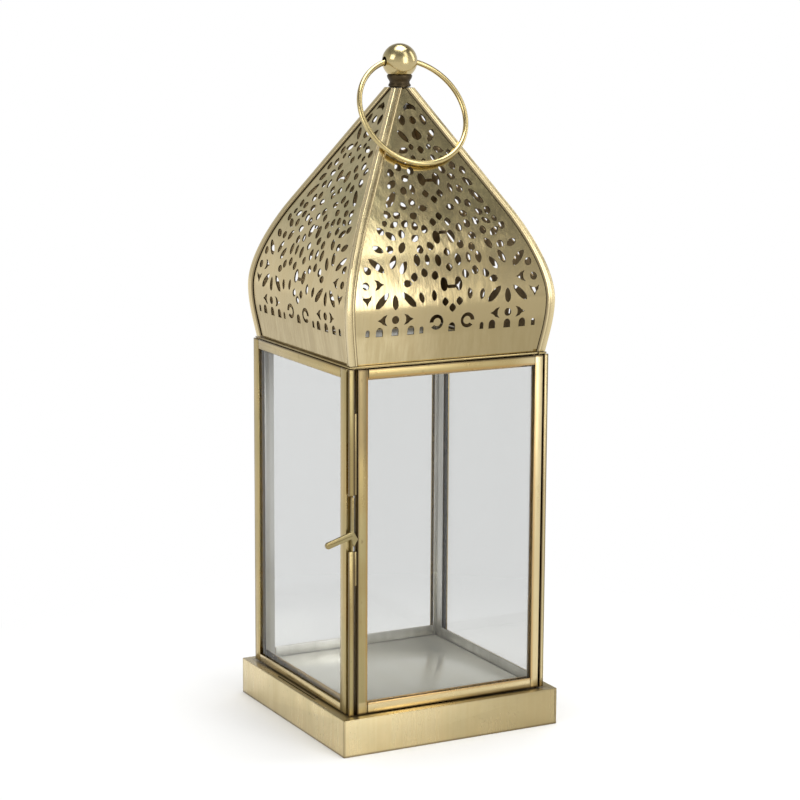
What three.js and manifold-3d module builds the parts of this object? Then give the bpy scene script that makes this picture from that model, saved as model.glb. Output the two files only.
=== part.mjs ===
// Metal tabletop lantern: a square plinth, a glazed frame with one hinged door,
// a pierced four-sided dome roof, and a ball finial that carries a ring handle.
// Millimetres, +Z up. The origin is the centre of the plinth's underside, and the door faces -Y.
import * as THREE from 'three';
import { mergeVertices } from 'three/addons/utils/BufferGeometryUtils.js';
import Module from 'manifold-3d';

const wasm = await Module();
wasm.setup();

// Gaps
const seatGap = 0.3; // between pieces that touch or are soldered together
const paneGap = 0.3; // round the edge and both faces of a glass pane
const doorGapEnd = 0.5; // above and below the door
const doorGapHinge = 0.3;
const doorGapLatch = 1.9; // the open slot that the latch strips fill

// Plinth
const plinthWidth = 114;
const plinthHeight = 17.7;
const plinthSheet = 0.8;
const plinthRim = 3.2; // folded in under the walls
const ledgeSlotLength = 42;
const ledgeSlotWidth = 1;
const ledgeSlotInset = 2.4; // from the plinth's side to the slot
const floorSheet = 0.6;

// Glazed frame
const ledgeWidth = 4.8; // from the plinth's side to the frame
const frameHeight = 162.4;
const frameSheet = 0.7;
const glassThickness = 2;
const postLongLeg = 9;
const postShortLeg = 5.4;
const lowerRailOutside = 4.2;
const lowerRailInside = 6;
const upperRailOutside = 4.6;
const upperRailInside = 6.1;
const stopFoot = 3.9; // the inward fold of the door's head and sill
const stopDrop = 6.2;
const stopRise = 4.6;

// Door
const latchJambWidth = 2.6;
const hingeJambWidth = 2;
const latchStileWidth = 5.1;
const hingeStileWidth = 4.7;
const doorTopRail = 4.2;
const doorBottomRail = 4.9;
const pinRadius = 0.55;
const pinPlay = 0.3;
const curlWall = 0.45; // sheet rolled round the hinge pin
const pinEnd = 1; // how far the pin runs past its lower hole

// Latch
const latchWindowLevel = 0.482; // the window's foot, as a share of the frame's height
const latchWindowHeight = 26;
const latchStripAbove = 37.5;
const latchStripBelow = 16;
const latchStripDepth = 1.7;
const tongueWidth = 1.2;
const tongueDepth = 1.7;
const tongueProud = 1.2; // how far it stands out of the frame's front
const tongueInset = 0.9; // from the frame's corner to the tongue
const leverDrop = 16.6; // from the tongue's root to the lever
const leverReach = 12.2; // past the frame's corner
const leverThickness = 3.2;
const leverSlope = THREE.MathUtils.degToRad(15);
const noseHeight = 7;

// Roof
const roofSheet = 0.7;
const roofFootInset = 2.1; // in from the frame's side to the roof's foot
const roofBulgeInset = -1;
const roofBulgeRise = 24.8;
const roofShoulderInset = 14.2;
const roofShoulderRise = 66.5;
const roofApexHalf = 4.1;
const roofPitch = 0.6185; // inward run for each unit of rise above the shoulder
const roofPlateInset = 0.7;
const roofPlateRim = 5.9;
const roofPlateSheet = 0.6;
const ribSheet = 0.7;
const ribLeg = 3.6; // how far a rib reaches over each of the two panels at its corner

// Pierced pattern, measured across a panel and up along its sheet
const patternGrid = 10; // loose diamonds are placed in units of this
const archRow = 16;
const archStagger = 0.8; // how far the arches step up and down along their row
const archWidth = 3.6;
const archHeight = 6;
const archSpacing = 8.6;
const rosetteRow = 36.8;
const rosetteAcross = 29.5;
const rosetteReach = 15.3;
const knotRows = [35, 58.5, 86.5];
const knotLobe = 3.6;
const knotRing = 9.4;
const knotDiamondLength = 3.4;
const knotDiamondWidth = 2.3;
const looseDiamondLength = 4;
const looseDiamondWidth = 2.6;
const smallRosetteRow = 72;
const smallRosetteAcross = 18.5;
const smallRosetteReach = 8.6;
const topRosetteRow = 111;
const topRosetteReach = 7;
const edgeMargin = 5.4; // plain metal along a panel's sloping edges

// Finial and ring
const ballRadius = 8.3;
const collarRadius = 4.6;
const collarHeight = 3.5;
const studRadius = 1.5;
const boltPlay = 0.3;
const washerThickness = 1.2;
const washerRadius = 7;
const nutAcross = 5.5;
const nutThickness = 2.4;
const wireRadius = 1.25;
const ringRadius = 27;
const ringPlay = 0.35; // round the wire in the ball's cross hole

// Levels and places worked out from the sizes above
const deckTop = plinthHeight;
const frameFoot = deckTop + seatGap;
const frameTop = deckTop + frameHeight;
const half = plinthWidth / 2 - ledgeWidth;
const channelSlot = glassThickness + 2 * paneGap;
const channelDepth = channelSlot + 2 * frameSheet;
const innerFace = half - channelDepth;
const paneInner = half - frameSheet - paneGap - glassThickness;
const roofPlateFoot = frameTop + seatGap;
const roofFoot = roofPlateFoot + roofPlateSheet + seatGap;
const roofPlateHalf = half - roofPlateInset;
const roofFootHalf = half - roofFootInset;
const roofBulgeHalf = half - roofBulgeInset;
const roofShoulderHalf = half - roofShoulderInset;

const windowFoot = deckTop + frameHeight * latchWindowLevel;
const doorFront = -half;
const doorBack = doorFront + channelDepth;
const doorFoot = deckTop + doorGapEnd;
const doorTop = frameTop - doorGapEnd;
const doorLeft = -half + latchJambWidth + doorGapLatch;
const doorRight = half - hingeJambWidth - doorGapHinge;
const curlRadius = pinRadius + pinPlay + curlWall;
const hingeX = doorRight - curlRadius;
const hingeY = doorFront + curlRadius;

const brass = new THREE.MeshStandardMaterial({ color: 0xb39b67, roughness: 0.38, metalness: 1 });
const paleBrass = new THREE.MeshStandardMaterial({ color: 0xc9b27c, roughness: 0.32, metalness: 1 });
const darkBrass = new THREE.MeshStandardMaterial({ color: 0x6d5a34, roughness: 0.5, metalness: 1 });
const innerSteel = new THREE.MeshStandardMaterial({ color: 0x9a9c9c, roughness: 0.45, metalness: 1 });
const glass = new THREE.MeshStandardMaterial({
  color: 0xdfe6e8, roughness: 0.05, metalness: 0, transparent: true, opacity: 0.3,
});

const lantern = new THREE.Group();
const door = new THREE.Group();
door.position.set(hingeX, hingeY, 0);
lantern.add(door);

function piece(name, geometry, material, parent = lantern) {
  const mesh = new THREE.Mesh(geometry, material);
  mesh.name = name;
  parent.add(mesh);
  return mesh;
}

// A door piece is drawn in the lantern's place and hung on the hinge line.
function doorPiece(name, geometry, material) {
  return piece(name, geometry.translate(-hingeX, -hingeY, 0), material, door);
}

function toSolid(geometry) {
  const bare = geometry.index ? geometry.toNonIndexed() : geometry.clone();
  bare.deleteAttribute('normal');
  bare.deleteAttribute('uv');
  const merged = mergeVertices(bare, 1e-4);
  return new wasm.Manifold(new wasm.Mesh({
    numProp: 3,
    vertProperties: merged.attributes.position.array,
    triVerts: new Uint32Array(merged.index.array),
  }));
}

function toGeometry(solid) {
  const mesh = solid.getMesh();
  const geometry = new THREE.BufferGeometry();
  geometry.setAttribute('position', new THREE.BufferAttribute(mesh.vertProperties, 3));
  geometry.setIndex(new THREE.BufferAttribute(mesh.triVerts, 1));
  return geometry;
}

function cut(geometry, ...cutters) {
  let solid = toSolid(geometry);
  for (const cutter of cutters) solid = solid.subtract(toSolid(cutter));
  return toGeometry(solid);
}

function block(low, high) {
  const size = high.map((value, axis) => value - low[axis]);
  return new THREE.BoxGeometry(...size).translate(
    (low[0] + high[0]) / 2, (low[1] + high[1]) / 2, (low[2] + high[2]) / 2);
}

function rod(radius, bottom, top, sides, x = 0, y = 0) {
  return new THREE.CylinderGeometry(radius, radius, top - bottom, sides)
    .rotateX(Math.PI / 2).translate(x, y, (bottom + top) / 2);
}

function outline(points) {
  return new THREE.Shape(points.map(([x, y]) => new THREE.Vector2(x, y)));
}

// The section of a sheet folded along a line of corners: the line is the sheet's middle.
function foldedSheet(corners, thickness) {
  const line = corners.map(([x, y]) => new THREE.Vector2(x, y));
  const sides = line.slice(1).map((point, i) => {
    const along = point.clone().sub(line[i]).normalize();
    return new THREE.Vector2(-along.y, along.x);
  });
  const left = [];
  const right = [];
  line.forEach((point, i) => {
    const before = sides[Math.max(i - 1, 0)];
    const after = sides[Math.min(i, sides.length - 1)];
    const mitre = before.clone().add(after).normalize();
    const reach = thickness / 2 / mitre.dot(before);
    left.push(point.clone().addScaledVector(mitre, reach));
    right.unshift(point.clone().addScaledVector(mitre, -reach));
  });
  return new THREE.Shape([...left, ...right]);
}

function extruded(shape, length) {
  return new THREE.ExtrudeGeometry(shape, { depth: length, bevelEnabled: false, curveSegments: 6 });
}

// Sections drawn on (x, y) run up Z, on (y, z) along X, and on (x, z) along Y.
function upright(shape, bottom, top) {
  return extruded(shape, top - bottom).translate(0, 0, bottom);
}

function alongX(shape, from, to) {
  const turn = new THREE.Matrix4().makeBasis(
    new THREE.Vector3(0, 1, 0), new THREE.Vector3(0, 0, 1), new THREE.Vector3(1, 0, 0));
  return extruded(shape, to - from).applyMatrix4(turn).translate(from, 0, 0);
}

function alongY(shape, from, to) {
  return extruded(shape, to - from).rotateX(Math.PI / 2).translate(0, to, 0);
}

// Quarter turns about Z carry a piece drawn at the front to the right, back and left.
const quarter = Math.PI / 2;
const glazedSides = [['right', 1], ['back', 2], ['left', 3]];
const allSides = [['front', 0], ...glazedSides];

function buildPlinth() {
  const outer = plinthWidth / 2;
  const wall = outer - plinthSheet;
  const rim = wall - plinthRim;
  const slotX = -outer + ledgeSlotInset;
  const above = deckTop + 1;
  const underDeck = deckTop - plinthSheet;
  piece('base_plinth', cut(
    block([-outer, -outer, 0], [outer, outer, deckTop]),
    block([-wall, -wall, plinthSheet], [wall, wall, underDeck]),
    block([-rim, -rim, -1], [rim, rim, plinthSheet + 1]),
    block([slotX, -ledgeSlotLength / 2, underDeck - 1],
      [slotX + ledgeSlotWidth, ledgeSlotLength / 2, above]),
    rod(pinRadius + pinPlay, underDeck - 1, above, 12, hingeX, hingeY),
  ), brass);
  const lid = rim - seatGap;
  piece('base_bottom', block([-lid, -lid, 0], [lid, lid, plinthSheet]), darkBrass);
  const reach = innerFace - seatGap;
  const front = -innerFace + seatGap + stopFoot + seatGap;
  piece('floor_plate',
    block([-reach, front, frameFoot], [reach, reach, frameFoot + floorSheet]), innerSteel);
}

// A post is a channel that holds the edge of one pane, with a leg along the next side.
function postSection(leg) {
  const outside = -half + frameSheet / 2;
  const inside = -innerFace - frameSheet / 2;
  return foldedSheet([
    [outside, -half + leg], [outside, inside], [inside, inside], [inside, -half + leg],
  ], frameSheet);
}

// The back posts hold both panes of a corner: an angle outside, an angle inside and a web between.
function cornerPostSection(legAlongX, legAlongY) {
  const skin = half - frameSheet;
  const core = innerFace + frameSheet;
  const web = frameSheet / Math.SQRT2;
  const endX = -half + legAlongX;
  const endY = -half + legAlongY;
  return outline([
    [-half, -half], [endX, -half], [endX, -skin], [-skin + web, -skin],
    [-core + web, -core], [endX, -core], [endX, -innerFace], [-innerFace, -innerFace],
    [-innerFace, endY], [-core, endY], [-core, -core + web],
    [-skin, -skin + web], [-skin, endY], [-half, endY],
  ]);
}

function buildPosts() {
  const front = postSection(postLongLeg);
  piece('post_front_left', upright(front, frameFoot, frameTop), brass);
  const mirrored = postSection(postShortLeg).getPoints().map(({ x, y }) => [-x, y]).reverse();
  piece('post_front_right', upright(outline(mirrored), frameFoot, frameTop), brass);
  const corner = upright(cornerPostSection(postShortLeg, postLongLeg), frameFoot, frameTop);
  piece('post_back_left', corner.clone().rotateZ(-quarter), brass);
  piece('post_back_right', corner.clone().rotateZ(-2 * quarter), brass);
}

function buildJambs() {
  const face = -half + frameSheet / 2;
  const behind = -half + channelDepth - frameSheet - seatGap;
  const cutBack = -half - tongueProud + tongueDepth + seatGap;
  const latchReturn = -half + latchJambWidth - frameSheet / 2;
  const latchJamb = foldedSheet([[-half, face], [latchReturn, face], [latchReturn, behind]], frameSheet);
  piece('jamb_latch', cut(
    upright(latchJamb, frameFoot, frameTop),
    block([-half - 1, -half - 1, windowFoot],
      [-half + latchJambWidth + 1, cutBack, windowFoot + latchWindowHeight]),
  ), brass);
  const hingeReturn = half - hingeJambWidth + frameSheet / 2;
  const hingeJamb = foldedSheet([[half, face], [hingeReturn, face], [hingeReturn, behind]], frameSheet);
  piece('jamb_hinge', upright(hingeJamb, frameFoot, frameTop), brass);
}

function buildRails() {
  const outside = -half + frameSheet / 2;
  const inside = -innerFace - frameSheet / 2;
  const low = frameFoot + frameSheet / 2;
  const high = frameTop - frameSheet / 2;
  const lower = foldedSheet([
    [outside, deckTop + lowerRailOutside], [outside, low], [inside, low],
    [inside, deckTop + lowerRailInside],
  ], frameSheet);
  const upper = foldedSheet([
    [outside, frameTop - upperRailOutside], [outside, high], [inside, high],
    [inside, frameTop - upperRailInside],
  ], frameSheet);
  // Seen from outside, each side has a short post leg at its left and a long one at its right.
  const from = -half + postShortLeg + seatGap;
  const to = half - postLongLeg - seatGap;
  for (const [side, turns] of glazedSides) {
    piece(`rail_lower_${side}`, alongX(lower, from, to), brass).rotation.z = turns * quarter;
    piece(`rail_upper_${side}`, alongX(upper, from, to), brass).rotation.z = turns * quarter;
  }
}

function buildDoorStops() {
  const reach = innerFace - seatGap;
  const leaf = doorBack + seatGap + frameSheet / 2;
  const foot = leaf - frameSheet / 2 + stopFoot;
  const high = frameTop - frameSheet / 2;
  const low = frameFoot + frameSheet / 2;
  const head = foldedSheet([[leaf, frameTop - stopDrop], [leaf, high], [foot, high]], frameSheet);
  const sill = foldedSheet([[leaf, frameFoot + stopRise], [leaf, low], [foot, low]], frameSheet);
  piece('door_head', alongX(head, -reach, reach), brass);
  piece('door_sill', alongX(sill, -reach, reach), brass);
}

function buildPanes() {
  const foot = frameFoot + frameSheet + paneGap;
  const top = frameTop - frameSheet - paneGap;
  const outer = half - frameSheet - paneGap;
  const edge = innerFace - paneGap;
  for (const [side, turns] of glazedSides) {
    const pane = block([-edge, -outer, foot], [edge, -paneInner, top]);
    piece(`glass_${side}`, pane, glass).rotation.z = turns * quarter;
  }
}

function buildDoor() {
  const front = doorFront + frameSheet / 2;
  const back = doorBack - frameSheet / 2;
  const edge = doorLeft + frameSheet / 2;
  const latchEnd = doorLeft + latchStileWidth;
  const latchStile = foldedSheet(
    [[latchEnd, front], [edge, front], [edge, back], [latchEnd, back]], frameSheet);
  doorPiece('door_stile_latch', upright(latchStile, doorFoot, doorTop), paleBrass);

  // The hinge stile's front leaf is rolled round the pin, so the roll is the stile's outer edge.
  const glassSide = doorRight - hingeStileWidth;
  const web = hingeX - curlRadius / 2;
  const hingeStile = new THREE.Shape();
  hingeStile.moveTo(glassSide, doorFront);
  hingeStile.lineTo(hingeX, doorFront);
  hingeStile.absarc(hingeX, hingeY, curlRadius, -quarter, quarter, false);
  hingeStile.lineTo(web, hingeY + curlRadius);
  hingeStile.lineTo(web, doorBack);
  hingeStile.lineTo(glassSide, doorBack);
  hingeStile.lineTo(glassSide, doorBack - frameSheet);
  hingeStile.lineTo(web - frameSheet, doorBack - frameSheet);
  hingeStile.lineTo(web - frameSheet, doorFront + frameSheet);
  hingeStile.lineTo(glassSide, doorFront + frameSheet);
  doorPiece('door_stile_hinge', cut(
    upright(hingeStile, doorFoot, doorTop),
    rod(pinRadius + pinPlay, doorFoot - 1, doorTop + 1, 12, hingeX, hingeY),
  ), paleBrass);

  const railFrom = latchEnd + seatGap;
  const railTo = glassSide - seatGap;
  const low = doorFoot + frameSheet / 2;
  const high = doorTop - frameSheet / 2;
  const topRail = foldedSheet([[front, doorTop - doorTopRail], [front, high],
    [back, high], [back, doorTop - doorTopRail]], frameSheet);
  const bottomRail = foldedSheet([[front, doorFoot + doorBottomRail], [front, low],
    [back, low], [back, doorFoot + doorBottomRail]], frameSheet);
  doorPiece('door_rail_top', alongX(topRail, railFrom, railTo), paleBrass);
  doorPiece('door_rail_bottom', alongX(bottomRail, railFrom, railTo), paleBrass);

  const rim = frameSheet + paneGap;
  doorPiece('door_glass', block([doorLeft + rim, doorFront + rim, doorFoot + rim],
    [web - rim, doorFront + rim + glassThickness, doorTop - rim]), glass);

  piece('hinge_pin', rod(pinRadius, deckTop - plinthSheet - pinEnd,
    roofPlateFoot + roofPlateSheet, 12, hingeX, hingeY), darkBrass);
}

function buildLatch() {
  const root = windowFoot + latchWindowHeight;
  const stripLeft = -half + latchJambWidth + seatGap;
  const stripRight = doorLeft - seatGap;
  const stripFront = -half + frameSheet / 2;
  const strip = (name, foot, top) => piece(name,
    block([stripLeft, stripFront, foot], [stripRight, stripFront + latchStripDepth, top]), brass);
  strip('latch_strip_upper', root + seatGap, root + seatGap + latchStripAbove);
  strip('latch_strip_lower', windowFoot - seatGap - latchStripBelow, windowFoot - seatGap);

  // The tongue hangs from its root and turns out into the lever. Its nose bears on the door stile.
  const left = -half + tongueInset;
  const right = left + tongueWidth;
  const top = root - seatGap;
  const lever = root - leverDrop;
  const tip = -half - leverReach;
  const drop = (left - tip) * Math.tan(leverSlope);
  const noseTop = lever;
  const noseFoot = lever - noseHeight;
  const shape = new THREE.Shape();
  shape.moveTo(right, top);
  shape.lineTo(left, top);
  shape.lineTo(left, lever + tongueWidth);
  shape.quadraticCurveTo(left, lever, left - tongueWidth, lever - tongueWidth * Math.tan(leverSlope));
  shape.lineTo(tip + leverThickness / 2, lever - drop);
  shape.absarc(tip + leverThickness / 2, lever - drop - leverThickness / 2,
    leverThickness / 2, quarter, 3 * quarter, false);
  shape.lineTo(left, lever - leverThickness);
  shape.lineTo(right, noseFoot);
  shape.lineTo(doorLeft - seatGap, (noseTop + noseFoot) / 2);
  shape.lineTo(right, noseTop);
  const face = -half - tongueProud;
  piece('latch_tongue', alongY(shape, face, face + tongueDepth), paleBrass);
}

// The roof's side view: the foot swells to the bulge, turns in at the shoulder and runs straight up.
const shoulderToApex = (roofShoulderHalf - roofApexHalf) / roofPitch;
const apex = roofFoot + roofShoulderRise + shoulderToApex;
const roofLine = new THREE.CurvePath();
{
  const foot = new THREE.Vector2(roofFootHalf, roofFoot);
  const bulge = new THREE.Vector2(roofBulgeHalf, roofFoot + roofBulgeRise);
  const shoulder = new THREE.Vector2(roofShoulderHalf, roofFoot + roofShoulderRise);
  const turn = roofShoulderRise - roofBulgeRise;
  roofLine.add(new THREE.CubicBezierCurve(foot,
    new THREE.Vector2(roofFootHalf + (roofBulgeHalf - roofFootHalf) * 0.45, roofFoot + roofBulgeRise / 3),
    new THREE.Vector2(roofBulgeHalf, roofFoot + roofBulgeRise * 0.65), bulge));
  roofLine.add(new THREE.CubicBezierCurve(bulge,
    new THREE.Vector2(roofBulgeHalf, bulge.y + turn * 0.31),
    new THREE.Vector2(roofShoulderHalf + roofPitch * turn * 0.27, shoulder.y - turn * 0.27), shoulder));
  roofLine.add(new THREE.LineCurve(shoulder, new THREE.Vector2(roofApexHalf, apex)));
}
const roofLength = roofLine.getLength();
const roofSteps = [
  ...Array.from({ length: 5 }, (_, i) => i / 5),
  ...Array.from({ length: 6 }, (_, i) => 1 + i / 6), 2, 3,
];

// Point and outward normal on the roof line, as [half width, height], at a curve's own parameter.
function roofAt(step) {
  const index = Math.min(Math.floor(step), roofLine.curves.length - 1);
  const curve = roofLine.curves[index];
  const point = curve.getPoint(step - index);
  const tangent = curve.getTangent(step - index);
  return { point, normal: new THREE.Vector2(tangent.y, -tangent.x) };
}

function buildRoofPlate() {
  const top = roofPlateFoot + roofPlateSheet;
  const inner = roofPlateHalf - roofPlateRim;
  const earHalf = curlRadius + frameSheet;
  const ear = block([hingeX - earHalf, hingeY - earHalf, roofPlateFoot],
    [hingeX + earHalf, -roofPlateHalf + 1, top]);
  const sheet = toSolid(block([-roofPlateHalf, -roofPlateHalf, roofPlateFoot],
    [roofPlateHalf, roofPlateHalf, top])).add(toSolid(ear));
  piece('roof_plate', cut(toGeometry(sheet),
    block([-inner, -inner, roofPlateFoot - 1], [inner, inner, top + 1]),
    rod(pinRadius + pinPlay, roofPlateFoot - 1, top + 1, 12, hingeX, hingeY),
  ), brass);
}

// Holes in a panel. Each is a closed outline about its own centre, with +y up the sheet.
function leafHole(length, width) {
  const shape = new THREE.Shape();
  shape.moveTo(0, -length / 2);
  shape.quadraticCurveTo(width, 0, 0, length / 2);
  shape.quadraticCurveTo(-width, 0, 0, -length / 2);
  return shape;
}

function archHole(width, height) {
  const side = width / 2;
  return outline([[-side, -height / 2], [side, -height / 2], [side, height / 2 - side],
    [0, height / 2], [-side, height / 2 - side]]);
}

function diamondHole(length, width) {
  return outline([[0, -length / 2], [width / 2, 0], [0, length / 2], [-width / 2, 0]]);
}

function knotHole(lobe) {
  const shape = new THREE.Shape();
  const radius = lobe * 0.62;
  const waist = radius / 3;
  const bite = Math.asin(waist / radius);
  shape.absarc(lobe, 0, radius, -Math.PI + bite, Math.PI - bite, false);
  shape.absarc(-lobe, 0, radius, bite, 2 * Math.PI - bite, false);
  return shape;
}

function panelHoles() {
  const holes = [];
  const add = (across, up, turn, shape, size) => holes.push({ across, up, turn, shape, size });
  const bothSides = (across, up, turn, shape, size) => {
    add(across, up, turn, shape, size);
    add(-across, up, -turn, shape, size);
  };
  const rosette = (across, up, reach, petals) => {
    const long = leafHole(reach * 0.52, reach * 0.19);
    const short = leafHole(reach * 0.36, reach * 0.24);
    for (let i = 0; i < petals; i++) {
      const angle = i * 2 * Math.PI / petals;
      const isLong = i % 2 === 1;
      const distance = reach * (isLong ? 0.73 : 0.56);
      add(across + distance * Math.sin(angle), up + distance * Math.cos(angle), -angle,
        isLong ? long : short, reach * 0.27);
    }
  };

  for (let i = -4; i <= 4; i++) {
    const gap = Math.sign(i) * (Math.abs(i) > 1 ? archSpacing * 0.4 : 0);
    add(i * archSpacing + gap, archRow + (i % 3 === 0 ? -archStagger : archStagger), 0,
      archHole(archWidth, archHeight), archHeight / 2);
  }
  for (const side of [-1, 1]) {
    rosette(side * rosetteAcross, rosetteRow, rosetteReach, 8);
    rosette(side * smallRosetteAcross, smallRosetteRow, smallRosetteReach, 8);
  }
  rosette(0, topRosetteRow, topRosetteReach, 6);
  for (const row of knotRows) {
    add(0, row, 0, knotHole(knotLobe), knotLobe * 1.7);
    for (let i = 0; i < 6; i++) {
      const angle = (i + 0.5) * Math.PI / 3;
      add(knotRing * Math.sin(angle), row + knotRing * Math.cos(angle), -angle,
        diamondHole(knotDiamondLength, knotDiamondWidth), knotDiamondLength / 2);
    }
  }
  const loose = diamondHole(looseDiamondLength, looseDiamondWidth);
  for (const [across, up] of [[4.35, 3.7], [4.2, 4.85], [1.6, 4.8], [3, 5.45], [2.1, 5.95], [1.45, 2.7],
    [2.95, 2.25], [3.85, 2.3], [2.05, 2.3], [0.6, 7.25], [1.6, 8.8], [0.9, 9.7], [0.55, 10.2]]) {
    bothSides(across * patternGrid, up * patternGrid, 0, loose, looseDiamondLength / 2);
  }
  return holes;
}

function roofPanel() {
  const face = [];
  const inner = [];
  for (const step of roofSteps) {
    const { point, normal } = roofAt(step);
    face.push([-point.x, point.y]);
    const under = point.clone().addScaledVector(normal, -roofSheet);
    inner.unshift([-under.x, under.y]);
  }
  // Level ends keep the foot flat on its plate and the apex open for the stud.
  inner[0][1] = apex;
  inner[inner.length - 1][1] = roofFoot;
  const reach = roofBulgeHalf + 1;
  const band = toSolid(alongX(outline([...face, ...inner].reverse()), -reach, reach));
  const mitre = seatGap / Math.SQRT2;
  const wedge = toSolid(upright(outline([[0, -mitre], [-reach, -mitre - reach], [reach, -mitre - reach]]),
    roofFoot - 1, apex + 1));
  let solid = band.intersect(wedge);

  const cutterDepth = 3;
  for (const { across, up, turn, shape, size } of panelHoles()) {
    const place = roofLine.getPoint(up / roofLength);
    const ahead = roofLine.getPoint((up + 1) / roofLength);
    const slope = Math.atan2(place.x - ahead.x, ahead.y - place.y);
    if (Math.abs(across) + size + edgeMargin > place.x) continue;
    const cutter = new THREE.ExtrudeGeometry(shape,
      { depth: 2 * cutterDepth, bevelEnabled: false, curveSegments: 2 });
    cutter.translate(0, 0, -cutterDepth).rotateZ(turn).rotateX(quarter - slope);
    cutter.translate(across, -place.x, place.y);
    solid = solid.subtract(toSolid(cutter));
  }
  return toGeometry(solid);
}

// A rib is an angle strip folded over the roof's corner: it covers the edges of two panels.
function roofRib() {
  const last = roofSteps.length - 1;
  const sections = roofSteps.map((step, index) => {
    const { point, normal } = roofAt(step);
    const isEnd = index === 0 || index === last;
    const level = (lift) => {
      const away = point.x + (isEnd ? lift / normal.x : lift * normal.x);
      const height = point.y + (isEnd ? 0 : lift * normal.y);
      return { away, height };
    };
    const inner = level(seatGap);
    const outer = level(seatGap + ribSheet);
    return [[outer, 0, ribLeg], [outer, 0, 0], [outer, ribLeg, 0], [inner, ribLeg, 0], [inner, 0, 0],
      [inner, 0, ribLeg]].map(([{ away, height }, alongBack, alongRight]) => [away - alongBack,
      away - alongRight, height]);
  });
  const corners = sections.length * 6;
  const faces = [];
  for (let i = 0; i < last; i++) {
    for (let j = 0; j < 6; j++) {
      const k = (j + 1) % 6;
      const [a, b, c, d] = [i * 6 + j, i * 6 + k, (i + 1) * 6 + k, (i + 1) * 6 + j];
      faces.push(a, b, c, a, c, d);
    }
  }
  for (const [a, b, c] of [[0, 1, 4], [0, 4, 5], [1, 2, 3], [1, 3, 4]]) {
    const top = corners - 6;
    faces.push(a, c, b, top + a, top + b, top + c);
  }
  const strip = new THREE.BufferGeometry();
  strip.setAttribute('position', new THREE.Float32BufferAttribute(sections.flat(2), 3));
  strip.setIndex(faces);
  const crest = sections.map((section) => new THREE.Vector2(section[1][0], section[1][2]));
  return { strip: toGeometry(toSolid(strip)), crest };
}

function buildRoof() {
  const panel = roofPanel();
  for (const [side, turns] of allSides) {
    piece(`roof_panel_${side}`, panel.clone(), brass).rotation.z = turns * quarter;
  }
  const { strip, crest } = roofRib();
  const corners = ['back_right', 'back_left', 'front_left', 'front_right'];
  corners.forEach((corner, turns) => {
    piece(`roof_rib_${corner}`, strip.clone(), paleBrass).rotation.z = turns * quarter;
  });
  return crest;
}

const bore = studRadius + boltPlay;
const collarFoot = apex + seatGap;
const ballCentre = collarFoot + collarHeight + seatGap + Math.sqrt(ballRadius ** 2 - bore ** 2);
const wireBow = ringRadius - Math.sqrt(ringRadius ** 2 - ballRadius ** 2);
const crossHole = wireRadius + wireBow / 2 + ringPlay;

function buildFinial() {
  const ring = (outer, inner, foot, top) => new THREE.LatheGeometry([
    new THREE.Vector2(inner, foot), new THREE.Vector2(outer, foot),
    new THREE.Vector2(outer, top), new THREE.Vector2(inner, top), new THREE.Vector2(inner, foot),
  ], 20).rotateX(quarter);
  piece('finial_collar', ring(collarRadius, bore, collarFoot, collarFoot + collarHeight), darkBrass);

  const studTop = ballCentre - crossHole - 1.5;
  const ball = new THREE.SphereGeometry(ballRadius, 24, 14).rotateX(quarter).translate(0, 0, ballCentre);
  const across = rod(crossHole, -ballRadius - 1, ballRadius + 1, 16).rotateY(quarter)
    .translate(0, 0, ballCentre);
  piece('finial_ball', cut(ball, across,
    rod(bore, ballCentre - ballRadius - 1, studTop + seatGap, 16)), brass);

  // Inside the apex a washer spans the four panels, where the space is just wide enough for it.
  const sheetRun = roofSheet * Math.sqrt(1 + roofPitch ** 2);
  const washerTop = apex - (washerRadius + seatGap + sheetRun - roofApexHalf) / roofPitch;
  const nutTop = washerTop - washerThickness - seatGap;
  const nutFoot = nutTop - nutThickness;
  piece('finial_washer', ring(washerRadius, bore, washerTop - washerThickness, washerTop), innerSteel);
  const nutCorner = nutAcross / Math.sqrt(3);
  piece('finial_nut', cut(rod(nutCorner, nutFoot, nutTop, 6),
    rod(bore, nutFoot - 1, nutTop + 1, 16)), innerSteel);
  piece('finial_stud', rod(studRadius, nutFoot - 1.5, studTop, 16), innerSteel);
}

// The ring passes through the ball and lies back on the two front ribs.
function buildRing(crest) {
  const hang = ringRadius - wireBow / 2;
  const middle = (lean, angle) => {
    const down = hang - ringRadius * Math.cos(angle);
    return new THREE.Vector3(ringRadius * Math.sin(angle), -down * Math.sin(lean),
      ballCentre - down * Math.cos(lean));
  };
  const crestPoints = [];
  for (let i = 1; i < crest.length; i++) {
    for (let part = 0; part < 60; part++) {
      const place = crest[i - 1].clone().lerp(crest[i], part / 60);
      for (const inset of [0, ribLeg / 2, ribLeg]) {
        crestPoints.push(new THREE.Vector3(place.x - inset, -place.x, place.y));
      }
    }
  }
  const reach = wireRadius + seatGap;
  const clears = (lean) => {
    for (let i = 0; i <= 120; i++) {
      const wire = middle(lean, i * Math.PI / 120);
      if (crestPoints.some((place) => place.distanceTo(wire) < reach)) return false;
    }
    return true;
  };
  const leanStep = THREE.MathUtils.degToRad(0.1);
  let lean = Math.PI / 3;
  while (clears(lean - leanStep)) lean -= leanStep;

  const ring = piece('ring_handle', new THREE.TorusGeometry(ringRadius, wireRadius, 8, 48), paleBrass);
  ring.rotation.x = quarter - lean;
  ring.position.set(0, -hang * Math.sin(lean), ballCentre - hang * Math.cos(lean));
}

buildPlinth();
buildPosts();
buildJambs();
buildRails();
buildDoorStops();
buildPanes();
buildDoor();
buildLatch();
buildRoofPlate();
buildFinial();
buildRing(buildRoof());

export default lantern;
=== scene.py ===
import math

import bpy
import numpy as np
from mathutils import Matrix, Vector


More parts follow.
